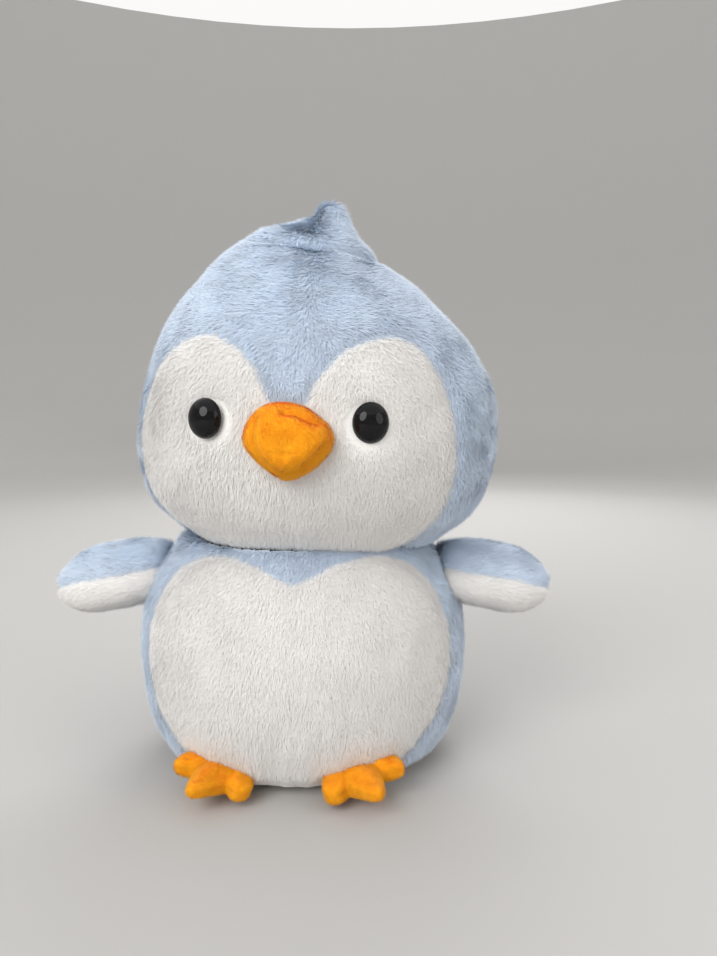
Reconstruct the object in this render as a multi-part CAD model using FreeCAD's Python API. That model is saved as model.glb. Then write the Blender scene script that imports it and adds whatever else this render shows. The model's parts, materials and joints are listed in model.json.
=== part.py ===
import FreeCAD, Part

import math
import os

# A seated plush penguin. Millimetres, +Z up, the face looks along -Y.
# The origin is the middle of the base panel, on the plane that the toy sits on.
# "right" and "left" in the names are the +X and -X sides.

V = FreeCAD.Vector
UP = V(0, 0, 1)
FAR = 400.0  # larger than the toy, for cutting solids

# Fabric
SKIN = 3.0  # cloth backing and the matted root of its pile
SKIN_GAP = 0.2  # from a panel's back to the stuffing
MOVING_GAP = 0.6  # between pieces of two bodies

# Trunk
BODY_HALF_WIDTH = 88.0
BODY_DEPTH_RATIO = 0.9
BODY_TOP = 113.0
BASE_RADIUS = 55.0
BASE_TRIM = 0.5  # cut off under the base, so that it ends in a true plane
BASE_SLOPE = 3.6  # how fast the base spreads over that plane
BASE_SEAM = 9.0  # height of the seam round the base panel
SEAM_ANGLE = 45.0  # where a turned solid closes on itself, clear of the panels' edges

# Neck
NECK_PIVOT = V(0, 0, 118.5)
NECK_RADIUS = 67.0
NECK_BALL = 47.0

# Head, in its own frame: heights over the floor, x = 0 at the middle of its face
HEAD_HALF_WIDTH = 95.5
HEAD_DEPTH_RATIO = 0.885
HEAD_RIM = 124.5
HEAD_TOP = 286.0
CROWN_FOLD = 266.0
HEAD_SHIFT = 4.0  # the head sits a little to the right
HEAD_TURN = 5.0  # and looks a little to the left
HEAD_LEAN = 1.5

# Crest, the soft tip of the crown
CREST_CENTRE = V(9, 0, 283)
CREST_RADIUS = 10.5
CREST_RISE = 15.0
CREST_OPENING = 48.0  # half angle of the room that it bends in

# Eyes with a washer behind the face
EYE_SPREAD = 36.0
EYE_HEIGHT = 182.5
EYE_RADIUS = 8.0
EYE_DOME = 5.5
EYE_LIFT = 0.1  # from the cloth to the flat back of the dome
STEM_RADIUS = 2.2
STEM_LENGTH = 11.0
WASHER_RADIUS = 8.5
WASHER_THICK = 1.2
WASHER_DEPTH = 5.0

# Beak
BEAK_CENTRE = V(0, -83, 174)
BEAK_HALF_SIZE = V(20, 26, 16)
BEAK_DROOP = 20.0
BEAK_BURIED = 6.0  # how far its shape runs on before it is cut to fit the face

# Wings
WING_HINGE = V(80, -4, 101)
WING_THICK = 14.0  # half the thickness at the root
WING_LENGTH = 55.0  # from the hinge to the tip
WING_CHORD_RATIO = 1.6
WING_DROOP = 11.0
WING_PITCH = 20.0
WING_HANG_MIDDLE = V(3.5, -3.7, -7.6)  # of the hollow for the wing as it hangs
WING_HANG_SIZE = V(16.4, 24.8, 14.8)

# Feet
FOOT_HINGE = V(33, -53, 7)
FOOT_THICK = 14.0
FOOT_ROUND = 5.0
FOOT_LENGTH = 36.0  # from the hinge to the tip of the middle toe
FOOT_BACK = 13.0  # half the width of its back edge
TOE_RADIUS = 6.8
TOE_SPREAD = 30.0
TOE_VALLEY = 2.0
TOE_VALLEY_DEEPER = 0.4  # for each millimetre that the outline moves in
FOOT_SPLAY = 17.0
FOOT_RAISE = 25.0  # how far the toes lift
FOOT_ROOM_SIDE = 2.2  # past the corners of its back edge
FOOT_ROOM_HALF_WIDTH = 20.0
FOOT_ROOM_REACH = 26.0  # past the front of the belly

# Closing stitches in the seam of the back
STITCH_COUNT = 7
STITCH_LOW = 40.0
STITCH_STEP = 5.0
STITCH_RADIUS = 0.5
STITCH_LENGTH = 6.0


def spline(points):
    """A smooth edge through (x, z) points."""
    curve = Part.BSplineCurve()
    curve.interpolate([V(x, 0, z) for x, z in points])
    return curve.toShape()


def inward(edge, points, distance):
    """The outline's points, moved inwards by a distance."""
    moved = []
    for x, z in points:
        tangent = edge.Curve.tangent(edge.Curve.parameter(V(x, 0, z)))[0]
        moved.append((max(x - distance * tangent.z, 0), z + distance * tangent.x))
    return moved


def stretched(shape, x, y, z):
    """A copy scaled along each axis."""
    matrix = FreeCAD.Matrix()
    matrix.scale(x, y, z)
    return shape.transformGeometry(matrix)


def turned(edge):
    """Turn an outline, closed by flat ends, about Z."""
    low, high = edge.Vertexes[0].Point, edge.Vertexes[-1].Point
    path = [edge]
    if high.x > 0:
        path.append(Part.makeLine(high, V(0, 0, high.z)))
    path.append(Part.makeLine(V(0, 0, high.z), V(0, 0, low.z)))
    path.append(Part.makeLine(V(0, 0, low.z), low))
    solid = Part.Face(Part.Wire(Part.__sortEdges__(path))).revolve(V(), UP, 360)
    solid.rotate(V(), UP, SEAM_ANGLE)
    return solid


# The trunk and the head are cut into panels while they are round, and their
# pieces are flattened front to back afterwards. What is cut out of them is
# stretched by as much first, so that it ends at its true shape.


def body_solid(inset):
    """The trunk while round: a cushion with a flat base and an open top."""
    half = BODY_HALF_WIDTH
    points = [(BASE_RADIUS - BASE_SLOPE * BASE_TRIM, -BASE_TRIM), (0.79 * half, 4)]
    points += [(0.89 * half, 15), (0.98 * half, 38)]
    points += [(half, 64), (0.95 * half, 90), (NECK_RADIUS, BODY_TOP)]
    edge = spline(points)
    if inset:
        points = inward(edge, points, inset)
        points[-1] = (points[-1][0], BODY_TOP)
        edge = spline(points)
    return turned(edge)


def head_solid(inset):
    """The head while round: a wide ball that narrows to the crown like a drop."""
    half = HEAD_HALF_WIDTH
    points = [(NECK_RADIUS, HEAD_RIM), (0.92 * half, 140), (half, 172), (0.95 * half, 202)]
    points += [(0.80 * half, 232), (0.56 * half, 257), (0.27 * half, 277), (0, HEAD_TOP)]
    edge = spline(points)
    if inset:
        points = inward(edge, points, inset)
        points[0] = (points[0][0], HEAD_RIM)
        points[-1] = (0, HEAD_TOP - inset)
        edge = spline(points)
    return turned(edge)


def front_region(points):
    """What the right half of an outline covers, seen from the front."""
    first, last = points[0], points[-1]
    corner = V(0, 0, last[1])
    sides = [spline(points), Part.makeLine(V(last[0], 0, last[1]), corner)]
    sides.append(Part.makeLine(corner, V(0, 0, first[1])))
    return Part.Face(Part.Wire(sides)).extrude(V(0, -FAR, 0))


def block(x, y, z, sizes):
    """A box from its lowest corner."""
    return Part.makeBox(sizes[0], sizes[1], sizes[2], V(x, y, z))


def right_quarter(front):
    """The quarter of space on the right, in front of or behind the middle."""
    return block(0, -FAR if front else 0, -FAR, (FAR, FAR, 3 * FAR))


def mirrored(shape):
    """The left-hand twin of a right-hand shape."""
    return shape.mirror(V(), V(1, 0, 0))


def slab(low, high):
    """All of space between two heights."""
    return block(-FAR, -FAR, low, (2 * FAR, 2 * FAR, high - low))


def face_region():
    """One white half of the face, up to its lobe over the eye."""
    points = [(0, 185), (9, 196), (18, 214), (41, 223), (64, 208), (74, 180)]
    points += [(69, 148), (50, 110)]
    return front_region(points)


def belly_region():
    """One white half of the belly, up to its lobe under the neck."""
    points = [(0, 100), (12, 106), (33, 109), (57, 103), (70, 86), (75, 60)]
    points += [(69, 34), (52, 12), (40, -10)]
    return front_region(points)


def ellipsoid(half_size):
    """A ball stretched to three half sizes, about the origin."""
    return stretched(Part.makeSphere(1), half_size.x, half_size.y, half_size.z)


def place_head(shape):
    """From the head's own frame to its place on the neck."""
    placed = shape.copy()
    placed.rotate(NECK_PIVOT, UP, -HEAD_TURN)
    placed.rotate(NECK_PIVOT, V(0, 1, 0), HEAD_LEAN)
    placed.translate(V(HEAD_SHIFT, 0, 0))
    return placed


def crest_solid(radius, rise):
    """A tip with a ball for its root, so that it turns without gaps."""
    root = Part.makeSphere(radius).common(slab(-FAR, 0))
    tip = ellipsoid(V(radius, radius, rise)).common(slab(0, FAR))
    crest = root.fuse(tip).removeSplitter()
    crest.translate(CREST_CENTRE)
    return crest


def crest_room():
    """The space that the bending crest takes out of the crown."""
    radius = CREST_RADIUS + MOVING_GAP
    ball = Part.makeSphere(radius, CREST_CENTRE)
    reach = 2 * CREST_RISE
    wide = radius + reach * math.tan(math.radians(CREST_OPENING))
    cone = Part.makeCone(radius, wide, reach, CREST_CENTRE)
    return ball.fuse(cone)


def eye_frame():
    """A point on the face, and the way out of it, for the right eye."""
    half_depth = HEAD_HALF_WIDTH * HEAD_DEPTH_RATIO
    depth = half_depth * math.sqrt(1 - (EYE_SPREAD / HEAD_HALF_WIDTH) ** 2)
    out = V(EYE_SPREAD / HEAD_HALF_WIDTH**2, -depth / half_depth**2, 0)
    return V(EYE_SPREAD, -depth, EYE_HEIGHT), out.normalize()


def aim(shape, point, out):
    """Stand a shape that was made along +Z on a point, along a direction."""
    placed = shape.copy()
    placed.Placement = FreeCAD.Placement(point, FreeCAD.Rotation(UP, out))
    return placed


def eye_solid():
    """A glossy dome on a stem."""
    dome = ellipsoid(V(EYE_RADIUS, EYE_RADIUS, EYE_DOME)).common(slab(0, FAR))
    stem = Part.makeCylinder(STEM_RADIUS, STEM_LENGTH + 1, V(0, 0, -STEM_LENGTH))
    return dome.fuse(stem).removeSplitter()


def washer_solid():
    """The washer that locks the stem behind the cloth."""
    bottom = V(0, 0, -WASHER_DEPTH - WASHER_THICK)
    disc = Part.makeCylinder(WASHER_RADIUS, WASHER_THICK, bottom)
    return disc.cut(Part.makeCylinder(STEM_RADIUS + 0.1, WASHER_THICK, bottom))


def eye_room():
    """What the stem and washer take out of the panel and the stuffing."""
    hole = Part.makeCylinder(STEM_RADIUS + 0.2, STEM_LENGTH + 2, V(0, 0, -STEM_LENGTH - 1))
    low = V(0, 0, -WASHER_DEPTH - WASHER_THICK - 0.3)
    pocket = Part.makeCylinder(WASHER_RADIUS + 0.3, WASHER_DEPTH, low)
    return hole, pocket


def make_head():
    """All the pieces that follow the head."""
    deeper = 1 / HEAD_DEPTH_RATIO
    shell = head_solid(0).cut(head_solid(SKIN))
    room = stretched(crest_room(), 1, deeper, 1)
    point, out = eye_frame()
    hole, pocket = (stretched(aim(r, point, out), 1, deeper, 1) for r in eye_room())
    below = shell.common(slab(0, CROWN_FOLD))
    front = below.common(right_quarter(True))
    white = face_region()
    right = {
        "face_panel": stretched(front.common(white).cut(hole), 1, HEAD_DEPTH_RATIO, 1),
        "forehead_panel": stretched(front.cut(white), 1, HEAD_DEPTH_RATIO, 1),
        "head_back": stretched(below.common(right_quarter(False)), 1, HEAD_DEPTH_RATIO, 1),
        "eye": aim(eye_solid(), point + out * EYE_LIFT, out),
        "eye_washer": aim(washer_solid(), point, out),
    }
    ball = Part.makeSphere(NECK_BALL + MOVING_GAP, NECK_PIVOT - V(HEAD_SHIFT, 0, 0))
    taken = [room, stretched(ball, 1, deeper, 1)]
    taken += [hole, pocket, mirrored(hole), mirrored(pocket)]
    crown = shell.common(slab(CROWN_FOLD, FAR)).cut(room)
    stuffing = head_solid(SKIN + SKIN_GAP).cut(taken)
    pieces = make_beak()
    pieces["crown_cap"] = stretched(crown, 1, HEAD_DEPTH_RATIO, 1)
    pieces["crest"] = crest_solid(CREST_RADIUS, CREST_RISE)
    pieces["head_stuffing"] = stretched(stuffing, 1, HEAD_DEPTH_RATIO, 1)
    pieces.update(both_sides(right))
    return {name: place_head(shape) for name, shape in pieces.items()}


def both_sides(right):
    """Each right-hand piece and its left-hand twin."""
    pieces = {}
    for name, shape in right.items():
        pieces[f"{name}_right"] = shape
        pieces[f"{name}_left"] = mirrored(shape)
    return pieces


def beak_solid(inset):
    """A rounded cone of felted cloth that droops to its tip."""
    half = BEAK_HALF_SIZE
    beak = ellipsoid(V(half.x - inset, half.y - inset, half.z - inset))
    return beak.common(block(-FAR, -FAR, -FAR, (2 * FAR, FAR + BEAK_BURIED, 2 * FAR)))


def make_beak():
    """An upper and a lower cloth round their stuffing, cut to fit the face."""
    cloth = beak_solid(0).cut(beak_solid(SKIN))
    pieces = {
        "beak_upper": cloth.common(slab(0, FAR)),
        "beak_lower": cloth.common(slab(-FAR, 0)),
        "beak_stuffing": beak_solid(SKIN + SKIN_GAP),
    }
    face = head_solid(-SKIN_GAP / 2)
    for name, shape in pieces.items():
        shape.rotate(V(), V(1, 0, 0), BEAK_DROOP)
        shape.translate(BEAK_CENTRE)
        while_round = stretched(shape, 1, 1 / HEAD_DEPTH_RATIO, 1)
        pieces[name] = stretched(while_round.cut(face), 1, HEAD_DEPTH_RATIO, 1)
    return pieces


def wing_solid(inset):
    """A round paddle along +X from its hinge, its root a ball about the hinge."""
    thick = WING_THICK - inset
    tip = WING_LENGTH - inset
    middle = thick * math.sqrt(0.5)
    root = Part.Arc(V(-thick, 0, 0), V(-middle, 0, middle), V(0, 0, thick)).toShape()
    points = [(0, thick), (0.25 * tip, 1.08 * thick), (0.5 * tip, 1.12 * thick)]
    points += [(0.78 * tip, 0.95 * thick), (0.95 * tip, 0.5 * thick), (tip, 0)]
    edge = spline(points)
    axis = Part.makeLine(V(tip, 0, 0), V(-thick, 0, 0))
    return Part.Face(Part.Wire([root, edge, axis])).revolve(V(), V(1, 0, 0), 360)


def place_wing(shape):
    """From the wing's own frame to the right shoulder."""
    placed = shape.copy()
    placed.rotate(V(), V(0, 1, 0), WING_DROOP)
    placed.rotate(V(), V(1, 0, 0), WING_PITCH)
    placed.translate(WING_HINGE)
    return placed


def wing_rooms():
    """The hollows in the trunk's side that the wing turns and hangs in."""
    radius = WING_THICK + MOVING_GAP
    root = ellipsoid(V(radius, radius * WING_CHORD_RATIO, radius))
    hang = ellipsoid(WING_HANG_SIZE)
    hang.translate(WING_HANG_MIDDLE)
    return [place_wing(root), place_wing(hang)]


def make_wings():
    """Blue above, white below, stuffing between."""
    cloth = wing_solid(0).cut(wing_solid(SKIN))
    right = {
        "top": cloth.common(slab(0, FAR)),
        "underside": cloth.common(slab(-FAR, 0)),
        "stuffing": wing_solid(SKIN + SKIN_GAP),
    }
    pieces = {}
    for part, shape in right.items():
        placed = place_wing(stretched(shape, 1, WING_CHORD_RATIO, 1))
        pieces[f"wing_right_{part}"] = placed
        pieces[f"wing_left_{part}"] = mirrored(placed)
    return pieces


def foot_outline(inset):
    """Seen from above, toes along -Y: a straight back and three round toes."""
    radius = TOE_RADIUS - inset
    reach = FOOT_LENGTH - TOE_RADIUS
    back = FOOT_THICK / 2 - inset
    half = FOOT_BACK - inset
    edges = []
    last = V(-half, back, 0)
    for turn in (-TOE_SPREAD, 0, TOE_SPREAD):
        angle = math.radians(turn)
        ahead = V(math.sin(angle), -math.cos(angle), 0)
        across = V(math.cos(angle), math.sin(angle), 0)
        tip = ahead * reach
        start = tip - across * radius
        if edges:
            middle = (last + start) * 0.5
            bottom = middle * (1 - (TOE_VALLEY + TOE_VALLEY_DEEPER * inset) / middle.Length)
            edges.append(Part.Arc(last, bottom, start).toShape())
        else:
            edges.append(Part.makeLine(last, start))
        edges.append(Part.Arc(start, tip + ahead * radius, tip + across * radius).toShape())
        last = tip + across * radius
    edges.append(Part.makeLine(last, V(half, back, 0)))
    edges.append(Part.makeLine(V(half, back, 0), V(-half, back, 0)))
    return Part.Wire(edges)


def foot_solid(inset):
    """A flat pad with round edges."""
    thick = FOOT_THICK - 2 * inset
    pad = Part.Face(foot_outline(inset)).extrude(V(0, 0, thick))
    pad.translate(V(0, 0, -thick / 2))
    flat = [edge for edge in pad.Edges if edge.BoundBox.ZLength < 0.01]
    return pad.makeFillet(FOOT_ROUND - inset, flat)


def place_foot(shape):
    """From the foot's own frame to its seam under the belly, on the right."""
    placed = shape.copy()
    placed.rotate(V(), UP, FOOT_SPLAY)
    placed.translate(FOOT_HINGE)
    return placed


def foot_rooms():
    """The hollows under the belly for the foot's back edge, and for the foot as it lifts."""
    half = FOOT_THICK / 2
    corner = (half - FOOT_ROUND) * math.sqrt(2) + FOOT_ROUND + MOVING_GAP
    length = 2 * (FOOT_BACK + FOOT_ROOM_SIDE)
    rod = Part.makeCylinder(corner, length, V(-length / 2, 0, 0), V(1, 0, 0))
    angle = math.radians(FOOT_RAISE)
    ahead = V(0, -math.cos(angle), math.sin(angle)) * FOOT_ROOM_REACH
    over = V(0, math.sin(angle), math.cos(angle)) * (half + MOVING_GAP)
    floor = -half - SKIN
    points = [V(0, over.y, floor), V(0, -FOOT_ROOM_REACH, floor), V(0, -FOOT_ROOM_REACH, 0)]
    points += [over + ahead, over, V(0, over.y, floor)]
    side = Part.Face(Part.makePolygon(points))
    side.translate(V(-FOOT_ROOM_HALF_WIDTH, 0, 0))
    wedge = side.extrude(V(2 * FOOT_ROOM_HALF_WIDTH, 0, 0))
    return [place_foot(rod), place_foot(wedge)]


def make_feet():
    """A top, a sole and the stuffing between them."""
    cloth = foot_solid(0).cut(foot_solid(SKIN))
    right = {
        "top": cloth.common(slab(0, FAR)),
        "sole": cloth.common(slab(-FAR, 0)),
        "stuffing": foot_solid(SKIN + SKIN_GAP),
    }
    pieces = {}
    for part, shape in right.items():
        placed = place_foot(shape)
        pieces[f"foot_right_{part}"] = placed
        pieces[f"foot_left_{part}"] = mirrored(placed)
    return pieces


def stitches():
    """Short threads across the middle seam of the back, where it was closed."""
    outer = body_solid(0)
    threads = []
    for number in range(STITCH_COUNT):
        height = STITCH_LOW + number * STITCH_STEP
        probe = Part.makeLine(V(0, 0, height), V(0, FAR, height))
        depth = outer.common(probe).BoundBox.YMax * BODY_DEPTH_RATIO
        start = V(-STITCH_LENGTH / 2, depth + STITCH_RADIUS, height)
        threads.append(Part.makeCylinder(STITCH_RADIUS, STITCH_LENGTH, start, V(1, 0, 0)))
    return Part.makeCompound(threads)


def make_trunk():
    """The trunk's panels and filling, with room for the wings, feet and neck."""
    rooms = wing_rooms() + foot_rooms()
    rooms += [mirrored(room) for room in rooms]
    rooms = [stretched(room, 1, 1 / BODY_DEPTH_RATIO, 1) for room in rooms]
    ball = Part.makeSphere(NECK_BALL + MOVING_GAP, NECK_PIVOT)
    socket = stretched(ball, 1, 1 / BODY_DEPTH_RATIO, 1)
    shell = body_solid(0).cut(body_solid(SKIN)).cut(rooms)
    wall = shell.common(slab(BASE_SEAM, FAR))
    front = wall.common(right_quarter(True))
    white = belly_region()
    right = {
        "belly_panel": front.common(white),
        "chest_panel": front.cut(white),
        "back_panel": wall.common(right_quarter(False)),
    }
    pieces = both_sides(right)
    pieces["base_panel"] = shell.common(slab(-FAR, BASE_SEAM))
    pieces["body_stuffing"] = body_solid(SKIN + SKIN_GAP).cut([socket] + rooms)
    for name, shape in pieces.items():
        pieces[name] = stretched(shape, 1, BODY_DEPTH_RATIO, 1)
    pieces["base_panel"] = pieces["base_panel"].cut(slab(-FAR, 0))
    pieces["closing_stitches"] = stitches()
    return pieces


def save(pieces):
    """One STEP file for each piece."""
    os.makedirs("parts", exist_ok=True)
    for name, shape in pieces.items():
        size = shape.BoundBox
        print(
            f"{name:24} solids {len(shape.Solids)} valid {shape.isValid()} "
            f"{shape.Volume / 1000:8.2f} ml  x {size.XMin:.1f} {size.XMax:.1f}  "
            f"y {size.YMin:.1f} {size.YMax:.1f}  z {size.ZMin:.1f} {size.ZMax:.1f}"
        )
        shape.exportStep(f"parts/{name}.step")


def main():
    pieces = make_trunk()
    pieces["neck_stuffing"] = Part.makeSphere(NECK_BALL, NECK_PIVOT)
    pieces.update(make_head())
    pieces.update(make_wings())
    pieces.update(make_feet())
    save(pieces)


main()
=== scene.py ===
import json
import math
from collections import namedtuple

import bpy
import numpy as np
from mathutils import Euler, Matrix, Vector


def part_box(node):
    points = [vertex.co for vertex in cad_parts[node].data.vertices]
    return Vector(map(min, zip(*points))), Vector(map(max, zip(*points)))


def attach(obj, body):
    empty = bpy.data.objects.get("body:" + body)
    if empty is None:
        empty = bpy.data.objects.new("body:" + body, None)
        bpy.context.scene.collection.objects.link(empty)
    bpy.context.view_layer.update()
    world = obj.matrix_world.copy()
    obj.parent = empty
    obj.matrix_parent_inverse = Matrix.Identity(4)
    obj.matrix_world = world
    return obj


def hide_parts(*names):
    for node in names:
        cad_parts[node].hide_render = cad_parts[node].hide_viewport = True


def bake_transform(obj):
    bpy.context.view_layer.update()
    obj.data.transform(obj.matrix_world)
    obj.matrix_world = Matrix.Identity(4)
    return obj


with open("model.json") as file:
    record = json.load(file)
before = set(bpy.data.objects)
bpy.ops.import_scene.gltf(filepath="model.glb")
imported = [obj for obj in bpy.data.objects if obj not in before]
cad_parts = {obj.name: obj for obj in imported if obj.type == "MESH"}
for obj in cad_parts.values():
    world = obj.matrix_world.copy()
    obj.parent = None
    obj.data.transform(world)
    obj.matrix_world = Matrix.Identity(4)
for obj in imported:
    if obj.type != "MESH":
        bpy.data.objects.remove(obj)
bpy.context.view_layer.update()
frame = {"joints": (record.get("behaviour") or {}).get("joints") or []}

# A seated plush penguin: stuffed fabric forms with a real pile of cut fibres.
# Metres. +Z is up and the face looks along -Y. MM turns millimetres into metres.
# Profiles and outlines are lists in millimetres.

MM = 0.001
rng = np.random.default_rng(47)

# ---------------------------------------------------------------- the frame


def box_of(*nodes):
    """The lowest and highest corners round some CAD nodes."""
    boxes = [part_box(node) for node in nodes]
    low = np.min([np.array(box[0]) for box in boxes], axis=0)
    high = np.max([np.array(box[1]) for box in boxes], axis=0)
    return low, high


def middle(*nodes):
    """The middle of the box round some CAD nodes."""
    low, high = box_of(*nodes)
    return (low + high) / 2


def joint(name):
    return next(j for j in frame["joints"] if j["name"] == name)


SIDES = ((-1, "left"), (1, "right"))
NECK = np.array(joint("head_nod")["pos_m"])

# The head's own frame is turned, and leans, on the neck. Its across axis runs
# from eye to eye.
EYE_LEFT = middle("eye_left")
EYE_RIGHT = middle("eye_right")
ACROSS = (EYE_RIGHT - EYE_LEFT) / np.linalg.norm(EYE_RIGHT - EYE_LEFT)
TURN = math.atan2(ACROSS[1], ACROSS[0])
LEAN = -math.asin(ACROSS[2])
HEAD_SHIFT = 4 * MM


def turned(x, y, z):
    """A turn about the X, Y and Z axes."""
    return Euler((x, y, z)).to_matrix().to_4x4()


HEAD_MATRIX = Matrix.Translation(Vector(NECK) + Vector((HEAD_SHIFT, 0, 0))) @ turned(0, LEAN, TURN)
HEAD_MATRIX = HEAD_MATRIX @ Matrix.Translation(-Vector(NECK))


def moved(points, matrix):
    """Points through a 4 by 4 matrix."""
    m = np.array(matrix)
    return points @ m[:3, :3].T + m[:3, 3]


# ---------------------------------------------------------------- numbers


def lattice(cells, seed):
    """A repeatable number from 0 to 1 for each whole-number cell."""
    mixed = cells @ np.array([374761393, 668265263, 1442695041]) + seed * 974711
    mixed = (mixed ^ (mixed >> 13)) * 1274126177
    return ((mixed ^ (mixed >> 16)) & 0xFFFF) / 0xFFFF


def noise(points, size, seed):
    """Smooth noise from -1 to 1, with lumps of a size."""
    scaled = points / size + 1000.0
    whole = np.floor(scaled).astype(np.int64)
    part = scaled - whole
    part = part * part * (3 - 2 * part)
    total = np.zeros(len(points))
    for corner in np.ndindex(2, 2, 2):
        share = np.prod(np.where(corner, part, 1 - part), axis=1)
        total += share * lattice(whole + np.array(corner), seed)
    return 2 * total - 1


def noise_vectors(points, size, seed):
    return np.stack([noise(points, size, seed + k) for k in range(3)], axis=1)


def unit(vectors):
    return vectors / np.maximum(np.linalg.norm(vectors, axis=1, keepdims=True), 1e-12)


def smooth_step(low, high, value):
    t = np.clip((value - low) / (high - low), 0, 1)
    return t * t * (3 - 2 * t)


def smooth_line(points, steps, closed=False):
    """A Catmull-Rom curve through points."""
    p = np.array(points, float)
    if closed:
        p = np.vstack([p[-1], p, p[0], p[1]])
    else:
        p = np.vstack([2 * p[0] - p[1], p, 2 * p[-1] - p[-2]])
    line = []
    for a, b, c, d in zip(p, p[1:], p[2:], p[3:]):
        for t in np.arange(steps) / steps:
            bend = (2 * a - 5 * b + 4 * c - d) * t**2 + (3 * b - a - 3 * c + d) * t**3
            line.append(0.5 * (2 * b + (c - a) * t + bend))
    if not closed:
        line.append(p[-2])
    return np.array(line)


def line_distance(points, line):
    """How far each 2-D point is from an open line."""
    nearest = np.full(len(points), np.inf)
    for a, b in zip(line, line[1:]):
        along = b - a
        t = np.clip(((points - a) @ along) / (along @ along), 0, 1)
        gap = points - a - t[:, None] * along
        nearest = np.minimum(nearest, np.einsum("ij,ij->i", gap, gap))
    return np.sqrt(nearest)


def inside_distance(points, outline):
    """How far each 2-D point is inside a closed outline, negative outside."""
    nearest = np.full(len(points), np.inf)
    odd = np.zeros(len(points), bool)
    for a, b in zip(outline, np.roll(outline, -1, axis=0)):
        along = b - a
        t = np.clip(((points - a) @ along) / (along @ along), 0, 1)
        gap = points - a - t[:, None] * along
        nearest = np.minimum(nearest, np.einsum("ij,ij->i", gap, gap))
        if a[1] != b[1]:
            crosses = (points[:, 1] > min(a[1], b[1])) & (points[:, 1] <= max(a[1], b[1]))
            at = a[0] + (points[:, 1] - a[1]) / (b[1] - a[1]) * along[0]
            odd ^= crosses & (points[:, 0] < at)
    return np.where(odd, 1, -1) * np.sqrt(nearest)


# ---------------------------------------------------------------- meshes


def new_object(name, data):
    """A mesh, a light or a camera, put in the scene."""
    made = bpy.data.objects.new(name, data)
    bpy.context.scene.collection.objects.link(made)
    return made


def make_mesh(name, points, faces):
    """A smooth object from its points and the corners of its faces."""
    mesh = bpy.data.meshes.new(name)
    mesh.from_pydata([tuple(p) for p in points], [], [tuple(f) for f in faces])
    mesh.update()
    mesh.shade_smooth()
    return new_object(name, mesh)


def rings_mesh(name, rings):
    """A closed skin over rings of as many points each, ended by two single points."""
    count = len(rings[1])
    points = [rings[0][0]]
    for ring in rings[1:-1]:
        points += list(ring)
    points.append(rings[-1][0])
    faces = []
    for k in range(count):
        faces.append((0, 1 + (k + 1) % count, 1 + k))
    for r in range(len(rings) - 3):
        base = 1 + r * count
        for k in range(count):
            n = (k + 1) % count
            faces.append((base + k, base + n, base + count + n, base + count + k))
    base = 1 + (len(rings) - 3) * count
    for k in range(count):
        faces.append((base + k, base + (k + 1) % count, len(points) - 1))
    return make_mesh(name, points, faces)


def coordinates(mesh):
    flat = np.empty(len(mesh.vertices) * 3, np.float32)
    mesh.vertices.foreach_get("co", flat)
    return flat.reshape(-1, 3).astype(float)


def set_coordinates(mesh, points):
    mesh.vertices.foreach_set("co", points.astype(np.float32).ravel())
    mesh.update()


def vertex_normals(mesh):
    flat = np.empty(len(mesh.vertices) * 3, np.float32)
    mesh.vertex_normals.foreach_get("vector", flat)
    return flat.reshape(-1, 3).astype(float)


def triangles(mesh):
    mesh.calc_loop_triangles()
    flat = np.empty(len(mesh.loop_triangles) * 3, np.int32)
    mesh.loop_triangles.foreach_get("vertices", flat)
    return flat.reshape(-1, 3)


def apply_modifiers(thing):
    """Bake the modifiers into the mesh."""
    bpy.context.view_layer.update()
    graph = bpy.context.evaluated_depsgraph_get()
    mesh = bpy.data.meshes.new_from_object(thing.evaluated_get(graph))
    thing.modifiers.clear()
    thing.data = mesh
    return thing


def remeshed(thing, voxel):
    """Even quads all over, as large as the voxel."""
    modifier = thing.modifiers.new("remesh", "REMESH")
    modifier.mode = "VOXEL"
    modifier.voxel_size = voxel
    modifier.use_smooth_shade = True
    return apply_modifiers(thing)


def subdivided(thing, levels=1):
    modifier = thing.modifiers.new("smooth", "SUBSURF")
    modifier.levels = levels
    modifier.render_levels = levels
    return apply_modifiers(thing)


CLOTH_MASS = 0.2
CLOTH_FRAMES = 20


def stuffed(thing, voxel, pressure, cap, held):
    """Fill a closed form as cloth under pressure, and leave the result in its mesh.

    The points where held is true stay in place, and none moves further than the cap.
    """
    remeshed(thing, voxel)
    before = coordinates(thing.data)
    group = thing.vertex_groups.new(name="held")
    group.add([int(i) for i in np.flatnonzero(held(before))], 1.0, "REPLACE")
    cloth = thing.modifiers.new("cloth", "CLOTH")
    settings = cloth.settings
    settings.quality = 4
    settings.mass = CLOTH_MASS
    settings.use_pressure = True
    settings.uniform_pressure_force = pressure
    settings.effector_weights.gravity = 0
    settings.vertex_group_mass = "held"
    scene = bpy.context.scene
    for number in range(CLOTH_FRAMES):
        scene.frame_set(number + 1)
    graph = bpy.context.evaluated_depsgraph_get()
    after = coordinates(thing.evaluated_get(graph).data)
    thing.modifiers.clear()
    scene.frame_set(1)
    step = after - before
    size = np.linalg.norm(step, axis=1, keepdims=True)
    step *= np.minimum(1, cap / np.maximum(size, 1e-9))
    set_coordinates(thing.data, before + step)
    return subdivided(thing)


def push(thing, depth):
    """Move a mesh's points along their normals, by a function of place."""
    points = coordinates(thing.data)
    set_coordinates(thing.data, points + vertex_normals(thing.data) * depth(points)[:, None])


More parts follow.
